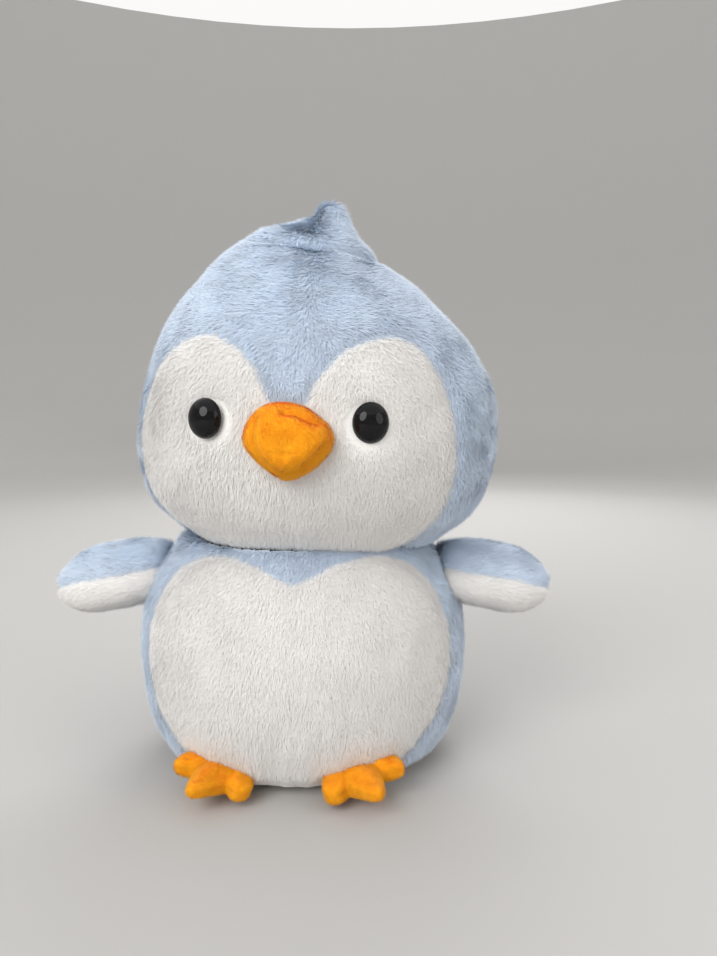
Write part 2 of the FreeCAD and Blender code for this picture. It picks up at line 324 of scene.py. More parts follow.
def cut_out(name, source, keep):
    """A new object with the faces of another whose middles are kept."""
    mesh = source.data
    points = coordinates(mesh)
    sizes = np.empty(len(mesh.polygons), np.int32)
    mesh.polygons.foreach_get("loop_total", sizes)
    corners = np.empty(len(mesh.loops), np.int32)
    mesh.loops.foreach_get("vertex_index", corners)
    owner = np.repeat(np.arange(len(sizes)), sizes)
    centres = np.stack([np.bincount(owner, points[corners, k]) for k in range(3)], axis=1)
    kept = keep(centres / sizes[:, None])
    starts = np.concatenate([[0], np.cumsum(sizes)])
    faces = [corners[starts[i]:starts[i + 1]] for i in np.flatnonzero(kept)]
    used = np.unique(np.concatenate(faces))
    new_index = np.full(len(points), -1)
    new_index[used] = np.arange(len(used))
    return make_mesh(name, points[used], [new_index[f].tolist() for f in faces])


# ---------------------------------------------------------------- materials


def new_material(name, colour, roughness):
    material = bpy.data.materials.new(name)
    material.use_nodes = True
    shader = material.node_tree.nodes["Principled BSDF"]
    shader.inputs["Base Color"].default_value = (*colour, 1)
    shader.inputs["Roughness"].default_value = roughness
    return material, shader


def soft_sheen(shader, weight):
    """The pale edge of cloth seen at a slant."""
    shader.inputs["Sheen Weight"].default_value = weight
    shader.inputs["Sheen Roughness"].default_value = 0.5
    shader.inputs["Sheen Tint"].default_value = (1, 1, 1, 1)
    shader.inputs["Specular IOR Level"].default_value = 0.2


def fibre_material(name, colour, sheen=0.25):
    """Plain fibres: the pile's light and shade come from its geometry."""
    material, shader = new_material(name, colour, 0.85)
    soft_sheen(shader, sheen)
    return material


def cloth_material(name, dark, light, patch, grain, bump, sheen=0.3):
    """Knitted backing: brushed patches of two tones, with a fine matted grain.

    The patch and the grain are the sizes of the two, in metres.
    """
    material, shader = new_material(name, light, 0.9)
    soft_sheen(shader, sheen)
    nodes, links = material.node_tree.nodes, material.node_tree.links
    place = nodes.new("ShaderNodeTexCoord")
    patches = nodes.new("ShaderNodeTexNoise")
    patches.inputs["Scale"].default_value = 1 / patch
    patches.inputs["Detail"].default_value = 4
    patches.inputs["Distortion"].default_value = 0.6
    ramp = nodes.new("ShaderNodeValToRGB")
    ramp.color_ramp.elements[0].position = 0.35
    ramp.color_ramp.elements[0].color = (*dark, 1)
    ramp.color_ramp.elements[1].position = 0.65
    ramp.color_ramp.elements[1].color = (*light, 1)
    fibres = nodes.new("ShaderNodeTexNoise")
    fibres.inputs["Scale"].default_value = 1 / grain
    fibres.inputs["Detail"].default_value = 3
    relief = nodes.new("ShaderNodeBump")
    relief.inputs["Strength"].default_value = bump
    relief.inputs["Distance"].default_value = grain * 0.5
    links.new(place.outputs["Object"], patches.inputs["Vector"])
    links.new(place.outputs["Object"], fibres.inputs["Vector"])
    links.new(patches.outputs["Fac"], ramp.inputs["Fac"])
    links.new(ramp.outputs["Color"], shader.inputs["Base Color"])
    links.new(fibres.outputs["Fac"], relief.inputs["Height"])
    links.new(relief.outputs["Normal"], shader.inputs["Normal"])
    return material


def shades(name, colour, steps, sheen=0.25):
    """One fibre material for each brightness."""
    return [
        fibre_material(f"{name}_{number}", tuple(min(1, c * step) for c in colour), sheen)
        for number, step in enumerate(steps)
    ]


BLUE = (0.625, 0.725, 0.855)
WHITE = (0.90, 0.89, 0.875)
ORANGE = (0.93, 0.395, 0.010)

BLUE_CLOTH = cloth_material("blue_cloth", (0.60, 0.69, 0.80), BLUE, 0.012, 0.0011, 0.6)
WHITE_CLOTH = cloth_material("white_cloth", (0.84, 0.83, 0.81), WHITE, 0.014, 0.0011, 0.5)
ORANGE_CLOTH = cloth_material(
    "orange_velour", (0.87, 0.31, 0.006), (0.96, 0.42, 0.012), 0.006, 0.0007, 0.5, 0.15
)
BLUE_PILE = shades("blue_fibre", BLUE, (0.86, 0.95, 1.03, 1.10))
WHITE_PILE = shades("white_fibre", WHITE, (0.97, 0.99, 1.01, 1.03))
ORANGE_PILE = shades("orange_fibre", ORANGE, (0.85, 0.95, 1.0, 1.05), 0.1)


# ---------------------------------------------------------------- pile


def roots(thing, per_mm2):
    """Random points on a mesh, evenly spread, with their smooth normals."""
    points, normals = coordinates(thing.data), vertex_normals(thing.data)
    faces = triangles(thing.data)
    a, b, c = (points[faces[:, k]] for k in range(3))
    areas = np.linalg.norm(np.cross(b - a, c - a), axis=1) / 2
    count = int(areas.sum() / MM**2 * per_mm2)
    ends = np.cumsum(areas)
    spots = (np.arange(count) + rng.random(count)) / count * ends[-1]
    which = np.minimum(np.searchsorted(ends, spots), len(faces) - 1)
    u, v = rng.random(count), rng.random(count)
    over = u + v > 1
    u[over], v[over] = 1 - u[over], 1 - v[over]
    weights = np.stack([1 - u - v, u, v], axis=1)[:, :, None]
    corners = faces[which]
    return (points[corners] * weights).sum(1), unit((normals[corners] * weights).sum(1))


# How a cut pile stands: the size of a fibre, the degrees it lies over, how far and
# over what size of lump its direction is stirred, and the materials of its tones.
Pile = namedtuple("Pile", "length width lean wave lump tones")

PLUSH_BLUE = Pile(5.6 * MM, 0.58 * MM, 67, 0.34, 10 * MM, BLUE_PILE)
PLUSH_WHITE = Pile(4.6 * MM, 0.5 * MM, 68, 0.22, 13 * MM, WHITE_PILE)
BASE_WHITE = Pile(1.6 * MM, 0.5 * MM, 66, 0.4, 12 * MM, WHITE_PILE)
VELOUR = Pile(1.5 * MM, 0.3 * MM, 42, 0.6, 4 * MM, ORANGE_PILE)

# Fibres for each square millimetre.
DENSITY = 4.2
VELOUR_DENSITY = 7.0
ROOT_DEPTH = 0.3 * MM


def along_cloth(vectors, normals):
    """The part of some vectors that lies in the surface."""
    return vectors - normals * np.einsum("ij,ij->i", vectors, normals)[:, None]


def comb_down(points, normals):
    """The pile of the trunk lies down the cloth."""
    return np.tile([0.0, 0.0, -1.0], (len(points), 1))


# How far right of the middle the pile of the crown parts.
PARTING = 8 * MM


def comb_head(points, normals):
    """The pile of the head lies down, and parts to both sides from the middle of the crown."""
    down = unit(along_cloth(comb_down(points, normals), normals))
    around = unit(np.cross([0.0, 0.0, 1.0], normals))
    side = np.tanh((points[:, 0] - PARTING) / (12 * MM))
    side *= smooth_step(195 * MM, 250 * MM, points[:, 2])
    return down + around * side[:, None] * 1.7


def comb_out(points, normals):
    """The pile of a wing lies towards its tip."""
    way = np.tile([0.0, -0.15, -0.25], (len(points), 1))
    way[:, 0] = np.sign(points[:, 0])
    return way


def stirred(way, points, normals, pile, seed):
    """A combed direction laid along the cloth and stirred in lumps."""
    way = unit(along_cloth(way, normals))
    way += noise_vectors(points, pile.lump, seed) * pile.wave * 1.6
    way += noise_vectors(points, pile.lump * 0.35, seed + 7) * pile.wave * 0.8
    return unit(along_cloth(way, normals))


def grow(name, points, normals, pile, seed, comb, shorten=None):
    """One fibre, a long thin triangle, for each root.

    Its shading normal is near the cloth's own, so that the pile is lit as one soft
    surface. Shorten scales the length at each root.
    """
    count = len(points)
    way = stirred(comb(points, normals), points, normals, pile, seed)
    jitter = rng.normal(size=(count, 3)) * 0.35
    way = unit(way + along_cloth(jitter, normals))
    stand = noise(points, pile.lump * 0.8, seed + 11)
    lean = np.radians(pile.lean + 5 * stand + rng.normal(size=count) * 5)
    lean = np.clip(lean, 0.3, 1.4)[:, None]
    length = pile.length * (0.85 + 0.3 * rng.random(count))[:, None]
    if shorten is not None:
        length = length * shorten[:, None]
    along = normals * np.cos(lean) + way * np.sin(lean)
    side = np.cross(normals, way) * pile.width * (0.7 + 0.6 * rng.random(count))[:, None] / 2
    foot = points - normals * ROOT_DEPTH
    corners = np.stack([foot + side, foot - side, foot + along * length], axis=1)
    across_fibre = normals * np.sin(lean) - way * np.cos(lean)
    tilt = unit(normals + across_fibre * 0.3 + jitter * 0.07)
    shade = 0.5 + 0.26 * noise(points, pile.lump, seed + 21)
    shade += 0.22 * noise(points, pile.lump * 0.3, seed + 23) + rng.normal(size=count) * 0.09
    tone = np.clip(shade * len(pile.tones), 0, len(pile.tones) - 1).astype(np.int32)
    mesh = bpy.data.meshes.new(name)
    mesh.vertices.add(count * 3)
    mesh.vertices.foreach_set("co", corners.astype(np.float32).ravel())
    mesh.loops.add(count * 3)
    mesh.loops.foreach_set("vertex_index", np.arange(count * 3, dtype=np.int32))
    mesh.polygons.add(count)
    mesh.polygons.foreach_set("loop_start", np.arange(0, count * 3, 3, dtype=np.int32))
    mesh.polygons.foreach_set("material_index", tone)
    mesh.update()
    mesh.shade_smooth()
    mesh.normals_split_custom_set_from_vertices(np.repeat(tilt, 3, axis=0).astype(np.float32))
    for material in pile.tones:
        mesh.materials.append(material)
    return new_object(name, mesh)


# ---------------------------------------------------------------- head

RING_POINTS = 72
SMALL_RING_POINTS = 48


def round_angles(count):
    return np.linspace(0, 2 * math.pi, count, endpoint=False)


# Half width of the head at heights over the floor, in its own frame.
HEAD_PROFILE = [
    (66, 120), (67.5, 122.6), (76, 129), (85.5, 138), (91.5, 149), (94, 160), (94.8, 172), (94, 183),
    (92.5, 194), (89.5, 205), (85.5, 215), (79.5, 226), (71.8, 236.5), (62, 247.5), (50.8, 258),
    (39.4, 267.5), (30.4, 275.5), (22.8, 280.5), (15.6, 284), (11.2, 287), (9.4, 290.5), (7.8, 294),
    (4.6, 297), (0, 298.4),
]
HEAD_DEPTH = 0.885
# How far the middle is to the right at each height: the crown leans to the left, and
# its tip comes back to the right.
HEAD_BEND = [
    (0, 0), (150, 2.5), (190, 3.5), (215, 1.5), (235, -1.2), (250, -4), (262, -8), (271, -8.4),
    (278, -4.6), (283, 1), (287, 5.5), (291, 7.6), (299, 8.6),
]


def head_form():
    """The head's closed form, in its own frame."""
    line = smooth_line(HEAD_PROFILE, 5)
    bend = smooth_line(HEAD_BEND, 6)
    angles = round_angles(RING_POINTS)
    rings = [np.array([[0, 0, line[0][1]]])]
    for radius, height in line[:-1]:
        offset = np.interp(height, bend[:, 0], bend[:, 1])
        ring = np.stack([
            radius * np.cos(angles) + offset,
            radius * np.sin(angles) * HEAD_DEPTH,
            np.full(len(angles), height),
        ], axis=1)
        rings.append(ring)
    tip_x = np.interp(line[-1][1], bend[:, 0], bend[:, 1])
    rings.append(np.array([[tip_x, 0, line[-1][1]]]))
    rings = [ring * MM for ring in rings]
    return rings_mesh("head_form", rings)


def mirrored_outline(right):
    """A closed outline from the points of its right half, top to bottom."""
    left = [(-x, z) for x, z in right[::-1] if x > 0]
    return smooth_line(np.array(list(right) + left) * MM, 6, closed=True)


# The white face, seen from the front. It goes further round the left cheek.
FACE = mirrored_outline([
    (0, 187), (9, 195), (14, 206), (24, 217), (41, 223), (57, 217.5), (68, 203), (74.5, 184),
    (76, 165), (72, 146), (61, 130), (40, 116), (0, 112),
])
FACE[:, 0] *= 1 + 0.09 * smooth_step(-40 * MM, -70 * MM, FACE[:, 0])

# Where the cloth of the trunk and of the head ends, out of sight in the neck.
NECK_OPENING = 119.6 * MM
# The fold that runs across the front of the crown, at the middle, and its slope.
FOLD_HEIGHT = 270.5 * MM
FOLD_SLOPE = -0.12


def to_head(points):
    """Points in the head's own frame."""
    return moved(points, HEAD_MATRIX.inverted())


def face_inside(local):
    """Distance inside the white face, for points in the head's frame."""
    inside = inside_distance(local[:, [0, 2]], FACE)
    return np.where(local[:, 1] < 0, inside, -0.05)


def over_fold(local):
    """How far points are over the line of the fold."""
    return local[:, 2] - (FOLD_HEIGHT + FOLD_SLOPE * local[:, 0])


def fold_strength(local):
    """The fold under the crown is sharp in front and fades out at its ends."""
    across = smooth_step(38 * MM, 24 * MM, np.abs(local[:, 0] - 2 * MM))
    return smooth_step(20 * MM, -15 * MM, local[:, 1]) * across


def groove(distance, width, depth):
    """A soft valley along a seam."""
    return -depth * np.exp(-((distance / width) ** 2))


def head_relief(local):
    """Seams, the fold under the crown, and the dents that stuffing leaves."""
    face = face_inside(local)
    depth = groove(face, 2.6 * MM, 1.3 * MM)
    blue = face < 0
    front = local[:, 1] < 0
    depth += np.where(blue & front, groove(local[:, 0], 2.2 * MM, 0.8 * MM), 0)
    depth += np.where(~blue, groove(local[:, 0], 2.5 * MM, 0.35 * MM), 0)
    depth += np.where(blue, groove(local[:, 1], 2.4 * MM, 1.0 * MM), 0)
    depth += np.where(~front, groove(local[:, 0], 2.4 * MM, 1.0 * MM), 0)
    over = over_fold(local)
    strength = fold_strength(local)
    depth += strength * groove(over + 1.2 * MM, 1.7 * MM, 2.4 * MM)
    depth += strength * 1.1 * MM * np.exp(-(((over - 3.5 * MM) / (4 * MM)) ** 2))
    depth += 1.0 * MM * noise(local, 34 * MM, 3) + 0.5 * MM * noise(local, 14 * MM, 4)
    return depth


def head_regions(points):
    """Which panel each point of the head belongs to."""
    local = to_head(points)
    face = face_inside(local) > 0
    crown = over_fold(local) > 0
    left = local[:, 0] < 0
    front = local[:, 1] < 0
    masks = {}
    for is_left, name in ((left, "left"), (~left, "right")):
        masks[f"face_panel_{name}"] = face & is_left
        masks[f"forehead_panel_{name}"] = ~face & ~crown & front & is_left
        masks[f"head_back_{name}"] = ~face & ~crown & ~front & is_left
    masks["crown_cap"] = crown
    return masks


def dress(form, regions, per_mm2, styles, cloths, seed, comb, keep=None, shorten=None):
    """Cut a form into its panels, grow the pile of each, and drop the form.

    Gives the cloth and the pile of each panel, by the panel's name.
    """
    points, normals = roots(form, per_mm2)
    if keep is not None:
        kept = keep(points)
        points, normals = points[kept], normals[kept]
    pieces = {}
    for name, mask in regions(points).items():
        panel = cut_out(f"{name}_cloth", form, lambda c, n=name: regions(c)[n] & (keep is None or keep(c)))
        panel.data.materials.append(cloths(name))
        short = None if shorten is None else shorten(points[mask])
        pile = grow(f"{name}_pile", points[mask], normals[mask], styles(name), seed, comb, short)
        pieces[name] = (panel, pile)
    bpy.data.objects.remove(form)
    return pieces


def is_white(name):
    return name.startswith(("face", "belly", "base")) or "underside" in name


def cloth_for(name):
    return WHITE_CLOTH if is_white(name) else BLUE_CLOTH


def orange_for(name):
    return ORANGE_CLOTH


def velour_for(name):
    return VELOUR


def style_for(name):
    if name == "base_panel":
        return BASE_WHITE
    return PLUSH_WHITE if is_white(name) else PLUSH_BLUE


def head_trim(points):
    """Fibres are short beside the eyes and along the fold."""
    local = to_head(points)
    length = 1 + groove(over_fold(local) + 1.0 * MM, 1.8 * MM, 0.55) * fold_strength(local)
    for name in ("eye_left", "eye_right"):
        gap = np.linalg.norm((points - middle(name))[:, [0, 2]], axis=1)
        near = 0.2 + 0.8 * smooth_step(9 * MM, 14 * MM, gap)
        length = np.where(points[:, 1] < 0, np.minimum(length, near), length)
    return length


def outside_head_opening(points):
    """All of the head but the disc that closes its form at the neck."""
    return (points[:, 2] > NECK_OPENING) | (np.hypot(points[:, 0], points[:, 1]) > 62 * MM)


def make_head():
    form = head_form()
    form.data.transform(HEAD_MATRIX)
    stuffed(form, 5 * MM, 2.5, 3 * MM, lambda points: points[:, 2] < 121.5 * MM)
    push(form, lambda points: head_relief(to_head(points)))
    pieces = dress(
        form, head_regions, DENSITY, style_for, cloth_for, 100, comb_head, outside_head_opening, head_trim
    )
    for name, pair in pieces.items():
        for piece in pair:
            if name == "crown_cap":
                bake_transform(piece)
            else:
                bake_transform(piece)
        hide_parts(name)
    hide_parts("head_stuffing", "neck_stuffing")
    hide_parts("crest")
    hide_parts("eye_washer_left")
    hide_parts("eye_washer_right")


# ---------------------------------------------------------------- trunk

# Half width of the trunk at heights over the floor.
TRUNK_PROFILE = [
    (57, 0.3), (66, 2.2), (73, 7), (78.5, 15), (83, 27), (86, 42), (87, 58), (86.5, 73), (84, 88),
    (79, 101), (73, 111), (67.5, 117.5), (65.5, 121),
]
TRUNK_DEPTH = 0.9
BASE_SEAM = 9 * MM
BASE_HEIGHT = 0.4 * MM
# The white belly, seen from the front, with a notch at its top.
BELLY = mirrored_outline([
    (0, 108), (11, 112.5), (22, 116.5), (36, 118), (52, 114), (64, 104), (72, 90), (76.5, 72),
    (76, 54), (71.5, 38), (62, 25), (50, 14), (30, 4), (0, 0),
])
# The place, width and depth of each crease between the feet.
CREASES = ((-9, 5, 1.1), (12, 6, 1.5), (26, 5, 0.8), (-27, 6, 0.7))


def trunk_form():
    """The trunk's closed form."""
    line = smooth_line(TRUNK_PROFILE, 5)
    angles = round_angles(RING_POINTS)
    rings = [np.array([[0, 0, line[0][1]]]) * MM]
    for radius, height in line:
        ring = np.stack([
            radius * np.cos(angles),
            radius * np.sin(angles) * TRUNK_DEPTH,
            np.full(len(angles), height),
        ], axis=1)
        rings.append(ring * MM)
    rings.append(np.array([[0, 0, line[-1][1]]]) * MM)
    return rings_mesh("trunk_form", rings)


def belly_inside(points):
    """Distance inside the white belly."""
    inside = inside_distance(points[:, [0, 2]], BELLY)
    return np.where(points[:, 1] < 0, inside, -0.05)


def trunk_relief(points):
    """Seams, creases over the feet, and the dents that stuffing leaves."""
    x, y, z = points.T
    belly = belly_inside(points)
    white = belly > 0
    front = y < 0
    upper = smooth_step(6 * MM, 16 * MM, z)
    depth = upper * groove(belly, 2.6 * MM, 1.4 * MM)
    depth += np.where(white, groove(x, 3 * MM, 0.7 * MM), 0)
    depth += np.where(front & ~white, groove(x, 2.2 * MM, 0.9 * MM), 0)
    depth += np.where(~white, groove(y, 2.4 * MM, 1.0 * MM), 0)
    depth += np.where(~front, groove(x, 2.4 * MM, 1.0 * MM), 0)
    low = smooth_step(75 * MM, 20 * MM, z) * white
    for place, width, size in CREASES:
        crease = x + 0.12 * (z - 30 * MM) * (1 if place > 0 else -1) - place * MM
        depth += low * groove(crease, width * MM, size * MM)
    depth += groove(z - BASE_SEAM, 2.4 * MM, 1.0 * MM)
    depth += upper * (1.1 * MM * noise(points, 36 * MM, 13) + 0.5 * MM * noise(points, 14 * MM, 14))
    return np.where(z < 3 * MM, np.maximum(depth, -0.5 * MM), depth)


def trunk_regions(points):
    """Which panel each point of the trunk belongs to."""
    belly = belly_inside(points) > 0
    base = points[:, 2] < BASE_SEAM
    left = points[:, 0] < 0
    front = points[:, 1] < 0
    masks = {"base_panel": base}
    for is_left, name in ((left, "left"), (~left, "right")):
        masks[f"belly_panel_{name}"] = belly & ~base & is_left
        masks[f"chest_panel_{name}"] = ~belly & ~base & front & is_left
        masks[f"back_panel_{name}"] = ~base & ~front & is_left
    return masks


def ends_of_trunk(points):
    """The base and the neck, which stay in place as the trunk is filled."""
    return (points[:, 2] > 118 * MM) | (points[:, 2] < 3.5 * MM)


def outside_trunk_opening(points):
    """All of the trunk but the disc that closes its form at the neck."""
    return (points[:, 2] < NECK_OPENING) | (np.hypot(points[:, 0], points[:, 1]) > 58 * MM)


def near_floor(points):
    """The pile is pressed short under the toy."""
    return 0.35 + 0.65 * smooth_step(2 * MM, 12 * MM, points[:, 2])


def make_trunk():
    form = trunk_form()
    stuffed(form, 5 * MM, 2.5, 3 * MM, ends_of_trunk)
    push(form, trunk_relief)
    points = coordinates(form.data)
    points[:, 2] = np.maximum(points[:, 2], BASE_HEIGHT)
    set_coordinates(form.data, points)
    pieces = dress(
        form, trunk_regions, DENSITY, style_for, cloth_for, 200, comb_down, outside_trunk_opening, near_floor
    )
    for name, pair in pieces.items():
        for piece in pair:
            if name == "base_panel":
                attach(piece, "trunk")
            else:
                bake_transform(piece)
        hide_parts(name)
    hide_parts("body_stuffing")


# ---------------------------------------------------------------- wings


# Half the thickness of a wing, from inside the shoulder to its tip.
WING_PROFILE = [
    (0, -10), (9, -7), (12.4, 0), (14.4, 14), (15.2, 28), (13.6, 41), (8.6, 51), (3.5, 54.6), (0, 55),
]
WING_FLATNESS = 1.62
WING_DROOP = math.radians(11)
# The seam round the wing is rolled, so that the white underside shows in front.
WING_ROLL = math.radians(27)


def wing_form(side):
    """A flat paddle, wider than it is thick, from inside the shoulder to its tip."""
    angles = round_angles(SMALL_RING_POINTS)
    rings = []
    for thick, along in smooth_line(WING_PROFILE, 4):
        ring = np.stack([
            np.full(len(angles), along),
            thick * WING_FLATNESS * np.cos(angles),
            thick * np.sin(angles),
        ], axis=1)
        rings.append(ring * MM)
    rings[0], rings[-1] = rings[0][:1], rings[-1][:1]
    return rings_mesh(f"wing_{side}_form", rings)


def wing_seam(local):
    """How far points are over the seam, which rises towards the front edge."""
    return local[:, 2] * math.cos(WING_ROLL) + local[:, 1] * math.sin(WING_ROLL)


def wing_relief(points):
    """The seam's valley, and the dents that stuffing leaves."""
    return groove(wing_seam(points), 1.8 * MM, 1.3 * MM) + 0.6 * MM * noise(points, 12 * MM, 33)


def wing_matrix(sign, side):
    """From the right wing's own frame to its place on either side."""
    axis = Vector(joint(f"wing_{side}_flap")["axis"])
    hinge = Vector(joint(f"wing_{side}_flap")["pos_m"])
    pitch = math.atan2(abs(axis.z), abs(axis.y))
    matrix = turned(pitch, 0, 0) @ turned(0, WING_DROOP, 0)
    if sign < 0:
        matrix = Matrix.Scale(-1, 4, (1, 0, 0)) @ matrix
    return Matrix.Translation(hinge) @ matrix


def make_wing(sign, side):
    form = wing_form(side)
    stuffed(form, 3.2 * MM, 3.0, 2 * MM, lambda points: points[:, 0] < -4 * MM)
    push(form, wing_relief)
    matrix = wing_matrix(sign, side)
    form.data.transform(matrix)
    if sign < 0:
        form.data.flip_normals()
    back = matrix.inverted()

    def regions(points):
        above = wing_seam(moved(points, back)) > 0
        return {f"wing_{side}_top": above, f"wing_{side}_underside": ~above}

    pieces = dress(form, regions, DENSITY, style_for, cloth_for, 300, comb_out)
    for name, pair in pieces.items():
        for piece in pair:
            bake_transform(piece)
        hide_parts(name)
    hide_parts(f"wing_{side}_stuffing")


# ---------------------------------------------------------------- feet


# A foot seen from above, toes along -Y: its outer half, then its inner half.
FOOT_OUTLINE = [
    (0, 7), (9, 6.6), (13.5, 3), (15.4, -5), (18, -12), (21.4, -16.6), (22, -21.8), (18.4, -25),
    (11.6, -21.8), (7.2, -27.2), (4.2, -34.6), (0.4, -38.6),
    (-3.6, -35), (-6.4, -27.4), (-10.2, -21.6), (-15.2, -23), (-19.2, -19.8), (-19.2, -15),
    (-16.6, -9.5), (-14.6, -4), (-13, 3), (-8.6, 6.6),
]
FOOT_CENTRE = np.array([0, -12.0])
# How wide the pad is at each height, from its sole to its top.
FOOT_LEVELS = [
    (0.0, -4.9), (0.6, -4.9), (0.86, -4.6), (0.96, -3.2), (1.0, 0), (0.96, 3.0), (0.86, 4.4),
    (0.6, 5.0), (0.0, 5.2),
]
# Each foot is splayed more than its hinge, rolled so that its outer toe is up, and
# sits a little off the hinge.
FOOT_SPLAY = math.radians(8)
FOOT_ROLL = math.radians(13)
FOOT_MOVE = {"left": (1.5 * MM, 2.5 * MM, 3 * MM), "right": (-8.5 * MM, -0.5 * MM, 3 * MM)}


def foot_form(side):
    """A pad, puffed between its top and its sole, thick at the belly and thin at the toes."""
    outline = smooth_line(FOOT_OUTLINE, 5, closed=True)
    rings = []
    for scale, height in FOOT_LEVELS:
        flat = FOOT_CENTRE + (outline - FOOT_CENTRE) * max(scale, 0.001)
        rise = 4.5 * smooth_step(-22, 2, flat[:, 1]) if height > 0 else 0 * flat[:, 1]
        thin = 1 - 0.3 * smooth_step(-14, -32, flat[:, 1])
        rings.append(np.column_stack([flat, height * thin + rise]) * MM)
    rings[0], rings[-1] = rings[0][:1], rings[-1][:1]
    return rings_mesh(f"foot_{side}_form", rings[::-1])


def foot_relief(points):
    """Stitched valleys between the toes, and the seam round the edge."""
    x, y, z = points.T
    depth = groove(z, 1.2 * MM, 0.3 * MM)
    ahead = smooth_step(-9 * MM, -21 * MM, y)
    for way in (-1, 1):
        valley = x - way * (6.8 * MM + 0.3 * (-y - 14 * MM))
        depth += ahead * groove(valley, 2.2 * MM, 1.1 * MM)
    top = smooth_step(0, 4 * MM, z)
    depth += top * 0.7 * MM * noise(points, 7 * MM, 41)
    return depth


def make_foot(sign, side):
    form = foot_form(side)
    stuffed(form, 1.7 * MM, 2.0, 0.8 * MM, lambda points: points[:, 1] > 2 * MM)
    push(form, foot_relief)
    hinge = Vector(joint(f"foot_{side}_flex")["pos_m"])
    axis = Vector(joint(f"foot_{side}_flex")["axis"])
    splay = math.atan2(abs(axis.y), abs(axis.x)) + FOOT_SPLAY
    matrix = turned(0, -FOOT_ROLL, 0) @ turned(0, 0, splay)
    if sign < 0:
        matrix = Matrix.Scale(-1, 4, (1, 0, 0)) @ matrix
    matrix = Matrix.Translation(hinge + Vector(FOOT_MOVE[side])) @ matrix
    form.data.transform(matrix)
    if sign < 0:
        form.data.flip_normals()
    back = matrix.inverted()

    def regions(points):
        above = moved(points, back)[:, 2] > 0
        return {f"foot_{side}_top": above, f"foot_{side}_sole": ~above}

    pieces = dress(form, regions, VELOUR_DENSITY, velour_for, orange_for, 400, comb_down)
    for name, pair in pieces.items():
        for piece in pair:
            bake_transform(piece)
        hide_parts(name)
    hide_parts(f"foot_{side}_stuffing")


# ---------------------------------------------------------------- beak

# The beak from in front, its seam and its creases, from its middle.
BEAK_OUTLINE = [
    (-20, 3.4), (-15.7, 12), (-8, 16.2), (2.2, 16.2), (9.9, 12.8), (15.9, 8.3), (19.7, 1.7),
    (18.5, -3.8), (13.3, -10), (7.0, -14.6), (-1.2, -16.6), (-7.2, -13.6), (-13.2, -8.8), (-18.7, -2.6),
]
BEAK_SEAM = [
    (-12.7, 10.3), (-13.6, 3.4), (-11.5, -4.3), (-6.8, -10.3), (-0.8, -13.4), (7.3, -11.4),
    (14.0, -6.0), (17.4, -0.9),
]
BEAK_FOLD = [(-1.2, 13.2), (5.2, 12.0), (13.3, 8.0)]
BEAK_CREASE = [(-7.2, -3.8), (0, -4.3), (7.4, -3.4)]
# How wide the beak is from inside the face to its tip, which droops.
BEAK_LEVELS = [
    (0, -4), (0.7, -3.5), (0.95, 0), (1.0, 4), (0.97, 9), (0.87, 14), (0.70, 18), (0.47, 20.8),
    (0.22, 22.3), (0, 22.7),
]
BEAK_TIP = np.array([-0.8, -7.5])
BEAK_PLACE = Vector((0.4 * MM, -82 * MM, 173.8 * MM))
# The upper cloth: inside the seam, and everything over it.
BEAK_CAP = np.array(BEAK_SEAM + [(22, 8), (10, 22), (-10, 22)]) * MM


def beak_form():
    """A rounded cone of cloth, broad at the face and drooping to a tip."""
    outline = smooth_line(BEAK_OUTLINE, 4, closed=True)[::-1]
    rings = []
    for scale, out in smooth_line(BEAK_LEVELS, 3):
        scale = max(scale, 0)
        flat = outline * scale + BEAK_TIP * (1 - scale) * (out > 4)
        rings.append(np.column_stack([flat[:, 0], np.full(len(flat), -out), flat[:, 1]]) * MM)
    rings[0], rings[-1] = rings[0][:1], rings[-1][:1]
    return rings_mesh("beak_form", rings)


def beak_relief(points):
    """The sewn rim down the left and round the tip, and the creases in the cap."""
    flat = points[:, [0, 2]]
    front = smooth_step(-1 * MM, 4 * MM, -points[:, 1])
    seam = line_distance(flat, smooth_line(np.array(BEAK_SEAM) * MM, 5))
    fold = line_distance(flat, smooth_line(np.array(BEAK_FOLD) * MM, 5))
    crease = line_distance(flat, smooth_line(np.array(BEAK_CREASE) * MM, 5))
    depth = front * groove(seam, 1.2 * MM, 2.1 * MM)
    depth += front * groove(fold, 1.6 * MM, 1.5 * MM)
    depth += front * groove(crease, 0.8 * MM, 0.4 * MM)
    depth += 0.45 * MM * noise(points, 7 * MM, 51)
    return depth


def make_beak():
    form = beak_form()
    stuffed(form, 2 * MM, 2.0, 1 * MM, lambda points: points[:, 1] > 1 * MM)
    push(form, beak_relief)
    matrix = Matrix.Translation(BEAK_PLACE) @ turned(0, 0, TURN)
    form.data.transform(matrix)
    back = matrix.inverted()

    def regions(points):
        above = inside_distance(moved(points, back)[:, [0, 2]], BEAK_CAP) > 0
        return {"beak_upper": above, "beak_lower": ~above}

    pieces = dress(form, regions, VELOUR_DENSITY, velour_for, orange_for, 500, comb_down)
    for name, pair in pieces.items():
        for piece in pair:
            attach(piece, "head")
        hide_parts(name)
    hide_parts("beak_stuffing")


# ---------------------------------------------------------------- eyes and stitches


